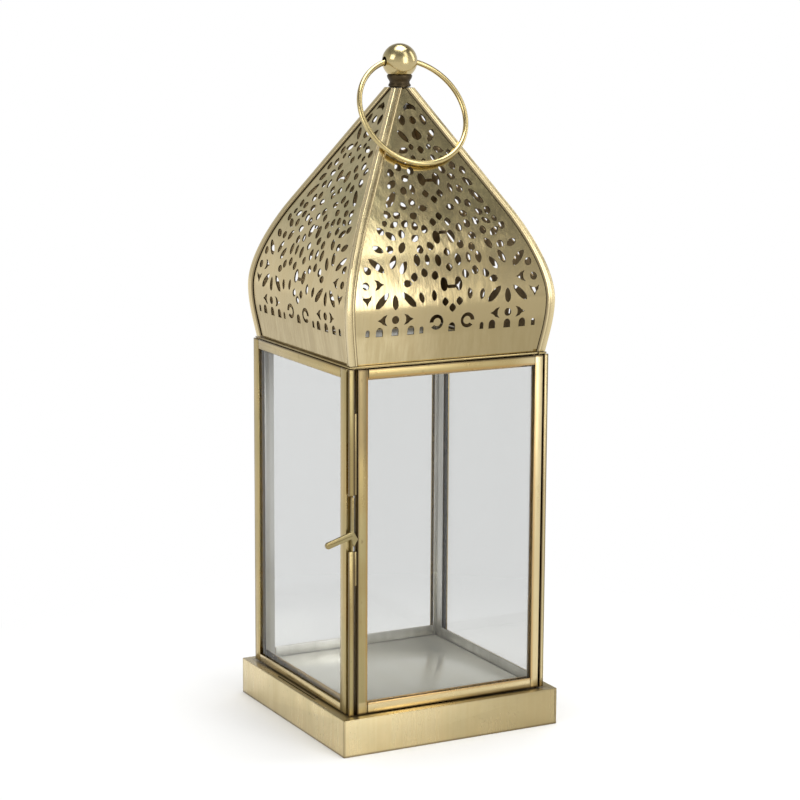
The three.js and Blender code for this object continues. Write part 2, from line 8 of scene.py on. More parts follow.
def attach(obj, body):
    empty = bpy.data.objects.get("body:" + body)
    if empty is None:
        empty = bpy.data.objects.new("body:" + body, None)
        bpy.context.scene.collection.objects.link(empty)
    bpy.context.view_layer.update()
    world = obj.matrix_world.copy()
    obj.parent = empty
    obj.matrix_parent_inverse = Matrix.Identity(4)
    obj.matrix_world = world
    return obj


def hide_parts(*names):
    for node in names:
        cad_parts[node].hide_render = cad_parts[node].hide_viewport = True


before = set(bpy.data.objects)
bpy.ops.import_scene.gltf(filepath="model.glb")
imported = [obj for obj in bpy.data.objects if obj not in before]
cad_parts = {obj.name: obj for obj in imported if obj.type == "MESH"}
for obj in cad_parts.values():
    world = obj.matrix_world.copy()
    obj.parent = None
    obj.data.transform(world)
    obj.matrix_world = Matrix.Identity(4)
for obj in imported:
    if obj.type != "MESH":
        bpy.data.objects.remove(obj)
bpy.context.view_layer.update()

mm = 0.001
camera = {
    "place": (-0.5222, -0.9934, 0.3604),
    "azimuth": 27.78,
    "pitch": 10.44,
    "roll": 0.30,
    "lens": 107.0,  # the photograph's own is about 50; a longer one from the same spot fills the frame
}
studio = {
    "floorSize": 8.0,
    "floorTone": (0.92, 0.92, 0.915, 1),
    "whiteFrom": 0.07,  # the floor blends to plain white past this distance
    "whiteTo": 0.26,
}


# Small tools for objects

def leaveEditing():
    if bpy.context.object and bpy.context.object.mode != "OBJECT":
        bpy.ops.object.mode_set(mode="OBJECT")


def pick(*objs):
    leaveEditing()
    bpy.ops.object.select_all(action="DESELECT")
    for obj in objs:
        obj.select_set(True)
    bpy.context.view_layer.objects.active = objs[0]


def unpick():
    leaveEditing()
    bpy.ops.object.select_all(action="DESELECT")


def named(name):
    obj = bpy.context.object
    obj.name = name
    obj.data.name = name
    return obj


def settle(obj):
    pick(obj)
    bpy.ops.object.transform_apply(location=True, rotation=True, scale=True)


def addModifier(obj, kind, **settings):
    pick(obj)
    modifier = obj.modifiers.new(kind.title(), kind)
    for key, value in settings.items():
        setattr(modifier, key, value)
    bpy.ops.object.modifier_apply(modifier=modifier.name)


def mergeAndTurnOut(obj, threshold=1e-6):
    pick(obj)
    bpy.ops.object.mode_set(mode="EDIT")
    bpy.ops.mesh.select_all(action="SELECT")
    bpy.ops.mesh.remove_doubles(threshold=threshold)
    bpy.ops.mesh.normals_make_consistent(inside=False)
    bpy.ops.object.mode_set(mode="OBJECT")


def smooth(obj, angle=32):
    pick(obj)
    bpy.ops.object.shade_smooth_by_angle(angle=math.radians(angle))


def soften(obj, width, segments=2, angle=28):
    addModifier(obj, "BEVEL", width=width * mm, segments=segments, limit_method="ANGLE",
                angle_limit=math.radians(angle), use_clamp_overlap=True)
    smooth(obj, 40)


def cadCopy(node, name):
    obj = bpy.data.objects.new(name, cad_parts[node].data.copy())
    obj.data.name = name
    obj.data.materials.clear()
    bpy.context.scene.collection.objects.link(obj)
    pick(obj)
    bpy.ops.mesh.customdata_custom_splitnormals_clear()
    bpy.ops.object.mode_set(mode="EDIT")
    bpy.ops.mesh.select_all(action="SELECT")
    bpy.ops.mesh.remove_doubles(threshold=2e-6)
    bpy.ops.mesh.dissolve_limited(angle_limit=math.radians(0.8))
    bpy.ops.object.mode_set(mode="OBJECT")
    return obj


def carve(obj, *cutters):
    for cutter in cutters:
        addModifier(obj, "BOOLEAN", object=cutter, operation="DIFFERENCE", solver="EXACT")
        bpy.data.objects.remove(cutter, do_unlink=True)


def giveFinish(obj, *finishes):
    obj.data.materials.clear()
    for finish in finishes:
        obj.data.materials.append(finish)


def seat(obj, body, slot, *nodes):
    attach(obj, body)
    if nodes:
        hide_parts(*nodes)


# Materials: a link wraps a node's output, so that sums on it add Math nodes

class Link:
    def __init__(self, finish, socket):
        self.finish = finish
        self.socket = socket

    def maths(self, operation, other, swap=False):
        pair = {0: other, 1: self} if swap else {0: self, 1: other}
        return self.finish.add("ShaderNodeMath", {"operation": operation}, pair)

    def __add__(self, other): return self.maths("ADD", other)
    def __radd__(self, other): return self.maths("ADD", other)
    def __sub__(self, other): return self.maths("SUBTRACT", other)
    def __rsub__(self, other): return self.maths("SUBTRACT", other, True)
    def __mul__(self, other): return self.maths("MULTIPLY", other)
    def __rmul__(self, other): return self.maths("MULTIPLY", other)


class Finish:
    def __init__(self, name, tree=None):
        if tree is None:
            self.material = bpy.data.materials.new(name)
            self.material.use_nodes = True
            tree = self.material.node_tree
        self.tree = tree
        tree.nodes.clear()

    def add(self, kind, settings=None, sockets=None, out=0):
        node = self.tree.nodes.new(kind)
        for key, value in (settings or {}).items():
            if key == "stops":
                ramp = node.color_ramp
                while len(ramp.elements) < len(value):
                    ramp.elements.new(1.0)
                for element, (position, tone) in zip(ramp.elements, value):
                    element.position = position
                    element.color = tone
            else:
                setattr(node, key, value)
        for key, value in (sockets or {}).items():
            if isinstance(value, Link):
                self.tree.links.new(value.socket, node.inputs[key])
            else:
                node.inputs[key].default_value = value
        return Link(self, node.outputs[out]) if node.outputs else None

    def place(self, scale, move=(0, 0, 0)):
        objectPlace = self.add("ShaderNodeTexCoord", out="Object")
        return self.add("ShaderNodeMapping", {}, {
            "Vector": objectPlace, "Scale": scale, "Location": move})

    def noise(self, scale, detail=2.0, roughness=0.5, distortion=0.0, move=(0, 0, 0)):
        return self.add("ShaderNodeTexNoise", {}, {
            "Vector": self.place(scale, move=move), "Scale": 1.0, "Detail": detail,
            "Roughness": roughness, "Distortion": distortion})

    def band(self, value, low, high):
        return self.add("ShaderNodeMapRange", {"interpolation_type": "SMOOTHSTEP"}, {
            "Value": value, "From Min": low, "From Max": high})

    def along(self, axis):
        objectPlace = self.add("ShaderNodeTexCoord", out="Object")
        return self.add("ShaderNodeSeparateXYZ", {}, {0: objectPlace}, out=axis)

    def least(self, first, *others, operation="MINIMUM"):
        for other in others:
            first = self.add("ShaderNodeMath", {"operation": operation}, {0: first, 1: other})
        return first

    def most(self, first, *others):
        return self.least(first, *others, operation="MAXIMUM")

    def size(self, value):
        return self.add("ShaderNodeMath", {"operation": "ABSOLUTE"}, {0: value})

    def mix(self, factor, first, second):
        return self.add("ShaderNodeMix", {"data_type": "RGBA"}, {
            "Factor": factor, 6: first, 7: second}, out=2)

    def bump(self, height, strength, distance):
        return self.add("ShaderNodeBump", {}, {
            "Height": height, "Strength": strength, "Distance": distance})

    def rays(self, *kinds):
        return self.most(*[self.add("ShaderNodeLightPath", out=kind) for kind in kinds])

    def close(self, shader):
        self.add("ShaderNodeOutputMaterial", {}, {"Surface": shader})
        return self.material


brass = {
    "pale": (0.74, 0.615, 0.360, 1),
    "warm": (0.66, 0.51, 0.258, 1),
    "olive": (0.41, 0.375, 0.20, 1),
    "umber": (0.16, 0.115, 0.06, 1),
    "dull": (0.30, 0.235, 0.115, 1),
    "ember": (0.44, 0.235, 0.065, 1),
}
grains = {"across": 620.0, "along": 14.0}  # brush lines per metre


# Brushed sheet brass. grain is the axis the brush ran along; age shifts it to olive and brown.
def brassFinish(name, grain, age, roughness, lift, streaks=1.0, dark=0.0, dirt=0.25,
                light=None, shade=None, soil=False, hingeShade=0.0, edges=None):
    finish = Finish(name)
    across, along = grains["across"], grains["along"]
    scale = tuple(along if axis == grain else across for axis in "xyz")
    fine = finish.noise(scale, 3.0, 0.6)
    broad = finish.noise(tuple(0.28 * part for part in scale), 2.0, 0.5, move=(3.1, 1.7, 0.4))
    cloud = finish.noise((34, 34, 34), 4.0, 0.58, 0.35)
    speck = finish.noise((420, 420, 420), 3.0, 0.65, move=(0.7, 0.2, 0.9))
    brushed = finish.band(0.55 * fine + 0.45 * broad, 0.34, 0.66)
    cloudy = finish.band(cloud, 0.36, 0.70)
    spotty = finish.band(speck, 0.60, 0.74)
    tone = finish.mix(0.6 * streaks * brushed, light or brass["pale"], shade or brass["warm"])
    tone = finish.mix(age * cloudy, tone, brass["olive"])
    tone = finish.mix(dirt * spotty * cloudy, tone, brass["umber"])
    if dark:
        tone = finish.mix(dark, tone, brass["umber"])
    if hingeShade:  # painted shade: duller towards the hinge side
        shadeTowardsHinge = finish.band(finish.along("X"), -places["hingeShade"], places["hingeShade"])
        tone = finish.mix(hingeShade * shadeTowardsHinge, tone, brass["dull"])
    # edge masks: painted shade and painted highlight, with other tones near edges
    for mask, edgeTone in (edges(finish) if edges else []):
        tone = finish.mix(mask, tone, brass[edgeTone])
    # painted shade in the ribs' creases and under them, from the mesh's own values
    if soil:
        crease = finish.add("ShaderNodeAttribute", {"attribute_name": "soil"}, out="Fac")
        tone = finish.mix(0.85 * crease, tone, brass["umber"])
    rough = roughness + 0.10 * brushed + 0.12 * cloudy + 0.1 * spotty
    height = 0.6 * fine + 0.25 * broad + 0.4 * cloud
    shader = finish.add("ShaderNodeBsdfPrincipled", {}, {
        "Base Color": tone, "Metallic": 1.0, "Roughness": rough, "IOR": 1.45,
        "Normal": finish.bump(height, 0.22 * lift, 0.0004)})
    return finish.close(shader)


# Painted shade along edges, seams and gaps, painted highlight on the lower rails, and other tones near
# edges, as masks and the tones they bring
places = {  # metres, as all materials read them
    "rim": {"left": -0.0477, "right": 0.0499, "foot": 0.0182, "head": 0.1796},  # the door's own
    "opening": {"left": -0.0426, "right": 0.0452, "foot": 0.0231, "head": 0.1754},
    "frame": {"half": 0.0522, "foot": 0.0180, "head": 0.1801},
    "railFoot": 0.0237, "railHead": 0.1740,
    "gaps": (-0.04945, -0.04785, 0.05005),  # across the front, between door and jambs
    "plinth": 0.0570, "deck": (0.0523, 0.0548), "deckTop": (0.0170, 0.0175),
    "hingeSide": (0.0300, 0.0470), "latchSide": (-0.0428, -0.0415),
    "stileDark": (0.1290, 0.1480),
    "hingeShade": 0.062,
}
edgeLines = {  # metres from an edge: full tone up to the first, none past the second. All but the pane line, an ember tone, are painted shade
    "doorRim": (0.0003, 0.0009), "pane": (0.0003, 0.0014), "post": (0.0002, 0.0009),
    "gap": (0.0004, 0.0009), "corner": (0.0003, 0.0012), "foot": (0.0003, 0.0013),
}


# The door: paler towards the hinge side, a painted highlight on its bottom rail, darker on the latch stile
# and most of all high up, an ember line round the pane, and painted shade along its outer rim
def doorEdges(finish):
    x, z = finish.along("X"), finish.along("Z")
    rim, opening = places["rim"], places["opening"]
    toRim = finish.least(x - rim["left"], rim["right"] - x, z - rim["foot"], rim["head"] - z)
    fromPane = finish.most(opening["left"] - x, x - opening["right"],
                           opening["foot"] - z, z - opening["head"])
    latchSide = 1 - finish.band(x, *places["latchSide"])
    foot = 1 - finish.band(z, opening["foot"] + 0.0001, opening["foot"] + 0.0009)
    return [(0.75 * finish.band(x, *places["hingeSide"]), "pale"), (0.55 * foot, "pale"),
            (latchSide * (0.10 + 0.58 * finish.band(z, *places["stileDark"])), "umber"),
            (0.55 * (1 - finish.band(fromPane, *edgeLines["pane"])), "ember"),
            (0.9 * (1 - finish.band(toRim, *edgeLines["doorRim"])), "umber")]


# Painted shade along the frame's outer corners, foot and head
def postEdges(finish):
    x, y, z = (finish.along(axis) for axis in "XYZ")
    edge = places["frame"]
    toRim = finish.least(edge["half"] - finish.least(finish.size(x), finish.size(y)),
                         z - edge["foot"], edge["head"] - z)
    return [(0.85 * (1 - finish.band(toRim, *edgeLines["post"])), "umber")]


# The rails: a painted highlight on the lower rails, painted shade as on the posts, and an ember line along
# the panes
def railEdges(finish):
    z = finish.along("Z")
    fromPane = finish.most(places["railFoot"] - z, z - places["railHead"])
    foot = 1 - finish.band(z, places["railFoot"] + 0.0003, places["railFoot"] + 0.0013)
    return [(0.5 * foot, "pale")] + postEdges(finish) + [
        (0.5 * (1 - finish.band(fromPane, *edgeLines["pane"])), "ember")]


# The jambs: paler towards the hinge side, painted shade in the gaps beside the door, and painted shade as on
# the posts
def jambEdges(finish):
    x = finish.along("X")
    gap = finish.least(*[finish.size(x - place) for place in places["gaps"]])
    return [(0.5 * finish.band(x, *places["hingeSide"]), "pale"),
            (0.92 * (1 - finish.band(gap, *edgeLines["gap"])), "umber")] + postEdges(finish)


# Painted shade on the plinth: darker on the deck next to the frame, duller over its top, and darker at its
# corners and along its foot
def plinthShade(finish):
    x, y, z = (finish.along(axis) for axis in "XYZ")
    fromMiddle = finish.most(finish.size(x), finish.size(y))
    toCorner = places["plinth"] - finish.least(finish.size(x), finish.size(y))
    return [(0.75 * (1 - finish.band(fromMiddle, *places["deck"])), "umber"),
            (0.35 * finish.band(z, *places["deckTop"]), "dull"),
            (0.5 * (1 - finish.band(toCorner, *edgeLines["corner"])), "umber"),
            (0.75 * (1 - finish.band(z, *edgeLines["foot"])), "umber")]


# The roof's panels: a plain brushed band at the foot, greener and more mottled above it, with painted shade
# on the side panels' bands, towards the hinge side and in a belt below the bulge
roofTones = {  # heights in metres
    "band": (0.1930, 0.2000),
    "upper": (0.2180, 0.2480),
    "shadeBelt": ((0.1925, 0.1965), (0.2060, 0.2110)),
    "sideFaceShade": (-0.054, -0.040),  # the side panels' bands are duller behind this
    "hinge": (-0.040, 0.002), "bandHingeShade": (-0.040, 0.060),
}


def roofFinish(name):
    finish = Finish(name)
    across = grains["across"]
    fine = finish.noise((across, across, 9), 3.0, 0.6)
    broad = finish.noise((170, 170, 5), 2.0, 0.5, move=(3.1, 1.7, 0.4))
    cloud = finish.noise((46, 46, 46), 4.0, 0.6, 0.5)
    swell = finish.noise((95, 95, 70), 2.0, 0.5, 0.3, move=(5.3, 0.8, 2.2))
    pit = finish.noise((520, 520, 520), 3.0, 0.6, move=(0.7, 0.2, 0.9))
    x, y, z = (finish.along(axis) for axis in "XYZ")
    band = 1 - finish.band(z, *roofTones["band"])
    upper = finish.band(z, *roofTones["upper"])
    brushed = finish.band(0.5 * fine + 0.5 * broad, 0.36, 0.64)
    cloudy = finish.band(cloud, 0.34, 0.70)
    spotty = finish.band(pit, 0.50, 0.72)
    tone = finish.mix(0.5 * brushed, brass["pale"], brass["warm"])
    tone = finish.mix((0.16 + 0.34 * upper) * cloudy + 0.26 * upper, tone, brass["olive"])
    tone = finish.mix(0.22 * upper * spotty, tone, brass["umber"])
    # painted shade: the side and back panels' bands duller than the front's
    sideFaceShade = finish.band(y, *roofTones["sideFaceShade"])
    tone = finish.mix(0.06 * band + 0.20 * band * brushed + 0.40 * band * sideFaceShade, tone, brass["dull"])
    # painted shade: darker towards the hinge side, on the band as well
    shadeTowardsHinge = (0.56 - 0.20 * upper) * finish.band(x, *roofTones["hinge"])
    bandHingeShade = 0.28 * band * finish.band(x, *roofTones["bandHingeShade"])
    tone = finish.mix(shadeTowardsHinge + bandHingeShade, tone, brass["dull"])
    # painted shade: a duller belt below the bulge
    low, high = roofTones["shadeBelt"]
    tone = finish.mix(0.42 * finish.band(z, *low) * (1 - finish.band(z, *high)), tone, brass["dull"])
    rough = 0.10 + 0.06 * brushed + 0.06 * cloudy + 0.06 * upper * spotty
    relief = 0.5 * band * broad + 0.12 * fine + 0.35 * cloud + 0.6 * swell + 0.10 * upper * pit
    shader = finish.add("ShaderNodeBsdfPrincipled", {}, {
        "Base Color": tone, "Metallic": 1.0, "Roughness": rough,
        "Normal": finish.bump(relief, 0.30, 0.0006)})
    return finish.close(shader)


# Dull metal: brown inside the roof, grey inside the posts, painted shade and dirt at the holes' walls, and
# near-black on the neck, where it is painted shade under the ball
def dullFinish(name, light, shade, roughness, metallic=1.0, grain=(90, 90, 12), lift=0.15):
    finish = Finish(name)
    cloud = finish.band(finish.noise(grain, 3.0, 0.6), 0.3, 0.7)
    fine = finish.noise((600, 600, 600), 2.0)
    shader = finish.add("ShaderNodeBsdfPrincipled", {}, {
        "Base Color": finish.mix(cloud, light, shade), "Metallic": metallic,
        "Roughness": roughness + 0.12 * cloud,
        "Normal": finish.bump(fine + cloud, lift, 0.0003)})
    return finish.close(shader)


# Clear pane: it lets light straight through, with a mirror glint that grows at grazing angles
pane = {
    "clear": (0.903, 0.906, 0.904, 1),  # what one face lets through
    "silver": (0.9, 0.91, 0.91, 1),
    "glint": 0.03, "grazing": 0.9, "haze": 0.01,
}


def glassFinish(name):
    finish = Finish(name)
    haze = finish.band(finish.noise((22, 22, 7), 3.0, 0.55, 0.6), 0.42, 0.8)
    clear = finish.add("ShaderNodeBsdfTransparent", {}, {"Color": pane["clear"]})
    facing = finish.add("ShaderNodeLayerWeight", {}, {"Blend": 0.5}, out="Facing")
    glint = pane["glint"] + pane["grazing"] * (facing * facing * facing * facing * facing)
    mirror = finish.add("ShaderNodeBsdfPrincipled", {}, {
        "Base Color": pane["silver"], "Metallic": 1.0, "Roughness": 0.03})
    shader = finish.add("ShaderNodeMixShader", {}, {
        0: glint + pane["haze"] * haze, 1: clear, 2: mirror})
    return finish.close(shader)


worn = {"light": (0.54, 0.42, 0.20, 1), "shade": (0.36, 0.25, 0.09, 1)}
tarnished = {"light": (0.42, 0.325, 0.145, 1), "shade": (0.26, 0.185, 0.065, 1)}
plinthBrass = brassFinish("plinthBrass", "z", age=0.30, roughness=0.22, lift=0.5, streaks=0.7, hingeShade=0.74,
                          edges=plinthShade)
stripBrass = brassFinish("stripBrass", "z", age=0.40, roughness=0.20, lift=0.5, edges=postEdges, **worn)
jambBrass = brassFinish("jambBrass", "z", age=0.45, roughness=0.20, lift=0.5, dirt=0.5, edges=jambEdges,
                        **tarnished)
doorBrass = brassFinish("doorBrass", "z", age=0.45, roughness=0.24, lift=0.4, dirt=0.5, edges=doorEdges,
                        **tarnished)
doorRailBrass = brassFinish("doorRailBrass", "x", age=0.30, roughness=0.18, lift=0.4, dirt=0.4,
                            edges=doorEdges, **worn)
leverBrass = brassFinish("leverBrass", "x", age=0.5, roughness=0.20, lift=0.3, dirt=0.6, dark=0.3,
                         **tarnished)
railBrassX = brassFinish("railBrassX", "x", age=0.30, roughness=0.18, lift=0.4, dirt=0.4, edges=railEdges,
                         **worn)
railBrassY = brassFinish("railBrassY", "y", age=0.30, roughness=0.18, lift=0.4, dirt=0.4, edges=railEdges,
                         **worn)
plateBrass = brassFinish("plateBrass", "x", age=0.5, roughness=0.25, lift=0.4, dark=0.35, **worn)
ribBrass = brassFinish("ribBrass", "z", age=0.20, roughness=0.14, lift=0.06, streaks=0.4, soil=True)
ringBrass = brassFinish("ringBrass", "x", age=0.35, roughness=0.14, lift=0.0, streaks=0.0, dirt=0.05,
                        light=(0.60, 0.475, 0.225, 1))
ballBrass = brassFinish("ballBrass", "x", age=0.6, roughness=0.10, lift=0.03, streaks=0.1, dirt=0.7,
                        light=(0.54, 0.43, 0.22, 1))
# near-black brass for the plinth's bottom and the hinge pin; on the neck it is painted shade under the ball
darkBrassAndNeckShade = dullFinish("darkBrassAndNeckShade", (0.10, 0.072, 0.038, 1), (0.05, 0.036, 0.02, 1), 0.38)
roofBrass = roofFinish("roofBrass")
roofInside = dullFinish("roofInside", (0.36, 0.265, 0.14, 1), (0.16, 0.115, 0.06, 1), 0.42)
# painted shade and dirt on the holes' walls
holeWallShadeAndDirt = dullFinish("holeWallShadeAndDirt", (0.17, 0.122, 0.06, 1), (0.09, 0.064, 0.032, 1), 0.45)
satinInside = dullFinish("satinInside", (0.68, 0.67, 0.63, 1), (0.52, 0.505, 0.46, 1), 0.30)
floorSteel = dullFinish("floorSteel", (0.97, 0.95, 0.84, 1), (0.93, 0.90, 0.78, 1), 0.15, 0.55,
                        grain=(40, 9, 40), lift=0.02)
studSteel = dullFinish("studSteel", (0.5, 0.5, 0.49, 1), (0.3, 0.29, 0.27, 1), 0.35)
paneGlass = glassFinish("paneGlass")
print("materials made")


# Camera, with the photograph's place and angles

def addCamera():
    unpick()
    azimuth, pitch, roll = (math.radians(camera[key]) for key in ("azimuth", "pitch", "roll"))
    ahead = Vector((math.sin(azimuth) * math.cos(pitch), math.cos(azimuth) * math.cos(pitch),
                    -math.sin(pitch)))
    right = Vector((math.cos(azimuth), -math.sin(azimuth), 0))
    up = right.cross(ahead)
    rolledRight = math.cos(roll) * right + math.sin(roll) * up
    rolledUp = math.cos(roll) * up - math.sin(roll) * right
    turn = Matrix((rolledRight, rolledUp, -ahead)).transposed().to_4x4()
    bpy.ops.object.camera_add()
    cam = named("photoCamera")
    cam.matrix_world = Matrix.Translation(camera["place"]) @ turn
    cam.data.lens = camera["lens"]
    cam.data.sensor_width = 36
    cam.data.clip_start = 0.01
    bpy.context.scene.camera = cam


def addFloor():
    unpick()
    bpy.ops.mesh.primitive_plane_add(size=studio["floorSize"])
    floor = named("studioFloor")
    finish = Finish("floorPaper")
    objectPlace = finish.add("ShaderNodeTexCoord", out="Object")
    away = finish.add("ShaderNodeVectorMath", {"operation": "LENGTH"}, {0: objectPlace}, out="Value")
    seen = finish.rays("Is Camera Ray", "Is Transmission Ray", "Is Glossy Ray")
    paper = finish.add("ShaderNodeBsdfDiffuse", {}, {"Color": studio["floorTone"]})
    white = finish.add("ShaderNodeEmission", {}, {"Color": (1, 1, 1, 1), "Strength": 1.0})
    amount = seen * finish.band(away, studio["whiteFrom"], studio["whiteTo"])
    floor.data.materials.append(finish.close(
        finish.add("ShaderNodeMixShader", {}, {0: amount, 1: paper, 2: white})))


# The room: bright near the horizon and dim overhead, as a pale studio is. The camera sees plain white.
def addWorld():
    world = bpy.data.worlds.new("studioWorld")
    bpy.context.scene.world = world
    world.use_nodes = True
    finish = Finish("studioWorld", world.node_tree)
    direction = finish.add("ShaderNodeTexCoord", out="Generated")
    rise = finish.add("ShaderNodeSeparateXYZ", {}, {0: direction}, out="Z")
    room = finish.add("ShaderNodeValToRGB", {"stops": [
        (0.0, (0.80, 0.80, 0.79, 1)), (0.15, (0.76, 0.76, 0.75, 1)), (0.45, (0.56, 0.56, 0.55, 1)),
        (0.64, (0.30, 0.30, 0.29, 1)), (0.82, (0.26, 0.26, 0.255, 1)), (1.0, (0.5, 0.5, 0.5, 1))]},
        {0: rise})
    seen = finish.rays("Is Camera Ray", "Is Transmission Ray")
    tone = finish.mix(seen, room, (1, 1, 1, 1))
    back = finish.add("ShaderNodeBackground", {}, {"Color": tone, "Strength": 1.0})
    finish.add("ShaderNodeOutputWorld", {}, {"Surface": back})


# Soft boxes: place, aim, width, height, and watts
softBoxes = {
    "frontBox": ((0.25, -1.20, 0.50), (0.0, 0.0, 0.28), 0.62, 0.84, 5.0),
    "slopeBox": ((0.37, -0.85, 1.18), (0.0, 0.0, 0.26), 0.40, 0.62, 1.80),
    "leftBox": ((-1.35, -0.25, 0.95), (0.0, 0.0, 0.15), 0.7, 0.7, 5.0),
    "topBox": ((0.15, 0.1, 1.9), (0.0, 0.0, 0.1), 1.2, 1.2, 24.0),
    "rightBox": ((1.15, -0.25, 0.75), (0.0, 0.0, 0.15), 0.3, 0.9, 2.2),
}


def addLights():
    for name, (place, aim, width, height, watts) in softBoxes.items():
        unpick()
        bpy.ops.object.light_add(type="AREA", location=place)
        lamp = named(name)
        lamp.rotation_euler = (Vector(aim) - Vector(place)).to_track_quat("-Z", "Y").to_euler()
        lamp.data.shape = "RECTANGLE"
        lamp.data.size = width
        lamp.data.size_y = height
        lamp.data.energy = watts


addCamera()
addFloor()
addWorld()
addLights()
bpy.context.scene.view_settings.view_transform = "Standard"
print("studio made")


# Plinth: the folded tray, with a seam at its front-left corner and one near its right-hand end

plinth = {
    "half": 57.0,
    "top": 17.7,
    "edge": 0.45,
    "seam": (0.16, 0.35),  # width and depth of the seam lines
    "seamBack": 0.9, "seamIn": 1.0,  # from the front-left corner, and from the right-hand end
}


def addBlock(name, low, high):
    unpick()
    centre = [(a + b) / 2 * mm for a, b in zip(low, high)]
    bpy.ops.mesh.primitive_cube_add(size=1, location=centre)
    obj = named(name)
    obj.scale = [(b - a) * mm for a, b in zip(low, high)]
    settle(obj)
    return obj


def makePlinth():
    obj = cadCopy("base_plinth", "basePlinth")
    soften(obj, plinth["edge"], 3)
    half, top = plinth["half"], plinth["top"]
    width, depth = plinth["seam"]
    start, end = plinth["seamBack"] - half, half - plinth["seamIn"]
    carve(obj, addBlock("seamLeft", (-half - 1, start, -1), (-half + depth, start + width, top - 0.6)),
          addBlock("seamRight", (end - width, -half - 1, -1), (end, -half + depth, top - 0.5)))
    smooth(obj, 40)
    giveFinish(obj, plinthBrass)
    seat(obj, "lantern", "brass", "base_plinth")


makePlinth()
for node, name, finish, slot, edge in [
        ("base_bottom", "baseBottom", darkBrassAndNeckShade, "dark_brass", 0.2),
        ("floor_plate", "floorPlate", floorSteel, "steel", 0.15),
        ("roof_plate", "roofPlate", plateBrass, "brass", 0.12),
        ("hinge_pin", "hingePin", darkBrassAndNeckShade, "dark_brass", 0.1)]:
    flat = cadCopy(node, name)
    soften(flat, edge)
    giveFinish(flat, finish)
    seat(flat, "lantern", slot, node)
print("plinth made")


# Posts, jambs and rails: folded strips with softened edges, and painted shade along their edges and gaps.
# Their faces towards the candle are grey.

strips = {
    "edge": 0.17,
    "inside": 49.4,  # faces nearer the middle than this can be grey
    "inward": 0.2, "web": 0.4,  # least lean towards the middle, and what counts as a diagonal web
}


def greyInside(obj):
    limit = strips["inside"] * mm
    for face in obj.data.polygons:
        x, y = face.center.x, face.center.y
        inward = -(face.normal.x * x + face.normal.y * y) / max(math.hypot(x, y), 1e-6)
        isCornerWeb = min(abs(face.normal.x), abs(face.normal.y)) > strips["web"]
        if max(abs(x), abs(y)) < limit and inward > strips["inward"] and not isCornerWeb:
            face.material_index = 1


def makeStrip(node, name, finish, body="lantern", slot="brass", inner=satinInside):
    obj = cadCopy(node, name)
    soften(obj, strips["edge"])
    if inner:
        giveFinish(obj, finish, inner)
        greyInside(obj)
    else:
        giveFinish(obj, finish)
    seat(obj, body, slot, node)
    return obj


for node, name in [("post_front_left", "postFrontLeft"), ("post_front_right", "postFrontRight"),
                   ("post_back_left", "postBackLeft"), ("post_back_right", "postBackRight")]:
    makeStrip(node, name, stripBrass)
for node, name in [("jamb_latch", "jambLatch"), ("jamb_hinge", "jambHinge"),
                   ("latch_strip_upper", "latchStripUpper"), ("latch_strip_lower", "latchStripLower")]:
    makeStrip(node, name, jambBrass, inner=None)
for side, finish in [("left", railBrassY), ("right", railBrassY), ("back", railBrassX)]:
    makeStrip("rail_lower_" + side, "railLower" + side.title(), finish)
    makeStrip("rail_upper_" + side, "railUpper" + side.title(), finish)
makeStrip("door_head", "doorHead", railBrassX)
makeStrip("door_sill", "doorSill", railBrassX)
for node, name, finish in [("door_stile_latch", "doorStileLatch", doorBrass),
                           ("door_stile_hinge", "doorStileHinge", doorBrass),
                           ("door_rail_top", "doorRailTop", doorRailBrass),
                           ("door_rail_bottom", "doorRailBottom", doorRailBrass)]:
    makeStrip(node, name, finish, "door", "pale_brass")
print("frame made")


# Panes: the CAD's own plates with ground edges

for node, name, body in [("glass_left", "paneLeft", "lantern"), ("glass_right", "paneRight", "lantern"),
                         ("glass_back", "paneBack", "lantern"), ("door_glass", "paneDoor", "door")]:
    sheet = cadCopy(node, name)
    soften(sheet, 0.25, 1)
    giveFinish(sheet, paneGlass)
    seat(sheet, body, "glass", node)
print("panes made")


# Roof: the side view's curve, as half width and height for a distance up the sheet

roof = {
    "footHalf": 50.1, "footHeight": 181.3,
    "bulgeHalf": 53.2, "bulgeRise": 24.8,
    "shoulderHalf": 38.0, "shoulderRise": 66.5,
    "apexHalf": 4.1, "pitch": 0.6185,
    "sheet": 0.7,
    "mitre": 0.22,  # each panel stops this far short of the corner
    "rows": 96, "columns": 24,
    "rim": 0.11,  # bevel round each hole
}


def bezier(points, count):
    t = np.linspace(0, 1, count)[:, None]
    a, b, c, d = (np.array(point) for point in points)
    return (1 - t) ** 3 * a + 3 * (1 - t) ** 2 * t * b + 3 * (1 - t) * t ** 2 * c + t ** 3 * d


def roofCurve():
    foot = np.array((roof["footHalf"], roof["footHeight"]))
    bulge = np.array((roof["bulgeHalf"], foot[1] + roof["bulgeRise"]))
    shoulder = np.array((roof["shoulderHalf"], foot[1] + roof["shoulderRise"]))
    turn = shoulder[1] - bulge[1]
    lower = bezier([foot, (foot[0] + (bulge[0] - foot[0]) * 0.45, foot[1] + roof["bulgeRise"] / 3),
                    (bulge[0], foot[1] + roof["bulgeRise"] * 0.65), bulge], 120)
    upper = bezier([bulge, (bulge[0], bulge[1] + turn * 0.31),
                    (shoulder[0] + roof["pitch"] * turn * 0.27, shoulder[1] - turn * 0.27), shoulder], 160)
    run = roof["shoulderHalf"] - roof["apexHalf"]
    apex = shoulder + np.array((-run, run / roof["pitch"]))
    straight = np.linspace(shoulder, apex, 60)
    line = np.vstack([lower, upper[1:], straight[1:]])
    steps = np.hypot(*np.diff(line, axis=0).T)
    return line, np.concatenate([[0], np.cumsum(steps)])


